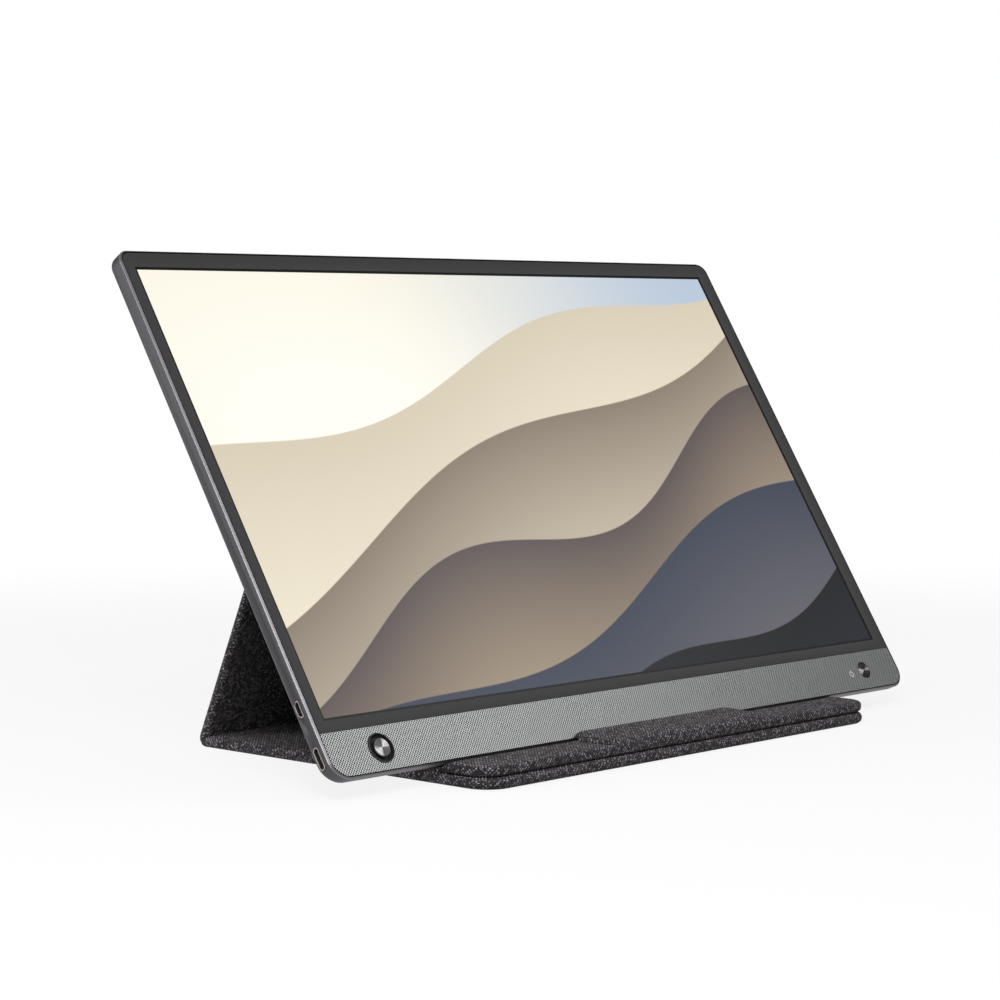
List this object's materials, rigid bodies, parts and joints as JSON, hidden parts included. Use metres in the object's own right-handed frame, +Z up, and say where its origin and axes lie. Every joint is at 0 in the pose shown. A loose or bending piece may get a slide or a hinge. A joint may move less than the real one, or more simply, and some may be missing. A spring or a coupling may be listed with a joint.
{
  "type": "portable monitor with cover",
  "caption": "Slim portable monitor leaning on its own folded fabric folio stand, with side ports, a small joystick and a power button.",
  "frame": {"origin": "centre of the overall bounding box at the table", "axes": "+X along the screen to its right as seen from the front, +Y to the rear, +Z up; the screen faces -Y and leans back"},
  "size_m": [0.3596, 0.164, 0.2004],
  "materials": {
    "case_metal": "fine bead-blasted anodised purple-grey, with a polished bright rim",
    "frame_plastic": "smooth matt charcoal",
    "strip_metal": "satin silver-grey with rows of small dark perforations",
    "screen_glass": "satin anti-glare screen surface over a black panel",
    "optic_film": "white and clear optical sheets",
    "tray_metal": "thin pressed sheet steel",
    "circuit_board": "green solder mask",
    "flex_film": "amber polyimide film",
    "port_metal": "bright plated sheet metal",
    "black_plastic": "fine-textured black plastic",
    "screw_steel": "blackened steel",
    "ring_plastic": "satin black ring with a thin brighter edge",
    "control_metal": "circularly spun grey metal",
    "fabric_cover": "near-black woven textile with fine light flecks",
    "fold_fabric": "the same woven textile over the folds",
    "board_core": "grey-brown fibre board",
    "magnet_plate": "nickel plate"
  },
  "bodies": {
    "base": {"base_sleeve": "fabric_cover", "base_stiffener": "board_core", "base_magnets": "magnet_plate", "rear_fold": "fold_fabric"},
    "prop": {"prop_sleeve": "fabric_cover", "prop_stiffener": "board_core", "apex_fold": "fold_fabric"},
    "slant": {"slant_sleeve": "fabric_cover", "slant_stiffener": "board_core", "slant_magnets": "magnet_plate"},
    "lip": {"foot_web": "fold_fabric", "lip_sleeve": "fabric_cover", "lip_plate": "tray_metal", "tongue_fold": "fold_fabric"},
    "tongue": {"tongue_sleeve": "fabric_cover", "tongue_stiffener": "board_core"},
    "monitor": {"rear_shell": "case_metal", "front_frame": "frame_plastic", "grille_strip": "strip_metal", "lcd_cell": "screen_glass", "diffuser_sheets": "optic_film", "light_guide": "optic_film", "reflector_sheet": "optic_film", "panel_tray": "tray_metal", "led_bar": "circuit_board", "timing_board": "circuit_board", "main_board": "circuit_board", "shield_can": "tray_metal", "display_flex": "flex_film", "usb_c_shell": "port_metal", "usb_c_tongue": "black_plastic", "micro_hdmi_shell": "port_metal", "micro_hdmi_tongue": "black_plastic", "speakers": "black_plastic", "holding_plates": "tray_metal", "screws": "screw_steel", "nav_ring": "ring_plastic", "nav_board": "circuit_board", "nav_switch_base": "black_plastic", "power_board": "circuit_board", "power_switch": "black_plastic"},
    "stick_gimbal": {"nav_gimbal": "black_plastic"},
    "stick_hub": {"nav_hub": "black_plastic"},
    "stick_cap": {"nav_cap": "control_metal"},
    "power_button": {"power_button": "control_metal"}
  },
  "joints": [
    {"name": "rear_fold_hinge", "type": "hinge", "parent": "base", "child": "prop", "pos_m": [0, 0.07973, 0.0023], "axis": [-1, 0, 0], "range_deg": [0, 114.1]},
    {"name": "apex_fold_hinge", "type": "hinge", "parent": "prop", "child": "slant", "pos_m": [0, 0.02482, 0.12467], "axis": [-1, 0, 0], "range_deg": [0, 123.9]},
    {"name": "foot_fold_hinge", "type": "hinge", "parent": "slant", "child": "lip", "pos_m": [0, -0.0499, 0.0051], "axis": [1, 0, 0], "range_deg": [0, 58.1]},
    {"name": "tongue_hinge", "type": "hinge", "parent": "lip", "child": "tongue", "pos_m": [0, -0.08048, 0.0094], "axis": [1, 0, 0], "range_deg": [0, 170]},
    {"name": "monitor_lift", "type": "slide", "parent": "slant", "child": "monitor", "axis": [0, 0.5299, 0.848], "range_m": [0, 0.03]},
    {"name": "stick_left_right", "type": "hinge", "parent": "stick_gimbal", "child": "stick_hub", "pos_m": [-0.152, -0.05088, 0.01484], "axis": [0, 0.5299, 0.848], "range_deg": [-6, 6], "stiffness_Nm_per_rad": 0.02},
    {"name": "stick_up_down", "type": "hinge", "parent": "monitor", "child": "stick_gimbal", "pos_m": [-0.152, -0.05088, 0.01484], "axis": [1, 0, 0], "range_deg": [-6, 6], "stiffness_Nm_per_rad": 0.02},
    {"name": "stick_press", "type": "slide", "parent": "stick_hub", "child": "stick_cap", "axis": [0, 0.848, -0.5299], "range_m": [0, 0.0003], "stiffness_N_per_m": 1500},
    {"name": "power_press", "type": "slide", "parent": "monitor", "child": "power_button", "axis": [0, 0.848, -0.5299], "range_m": [0, 0.0003], "stiffness_N_per_m": 1500}
  ],
  "couplings": [
    {"joint": "apex_fold_hinge", "follows": "rear_fold_hinge", "ratio": 1.0847},
    {"joint": "foot_fold_hinge", "follows": "rear_fold_hinge", "ratio": 0.50805}
  ]
}
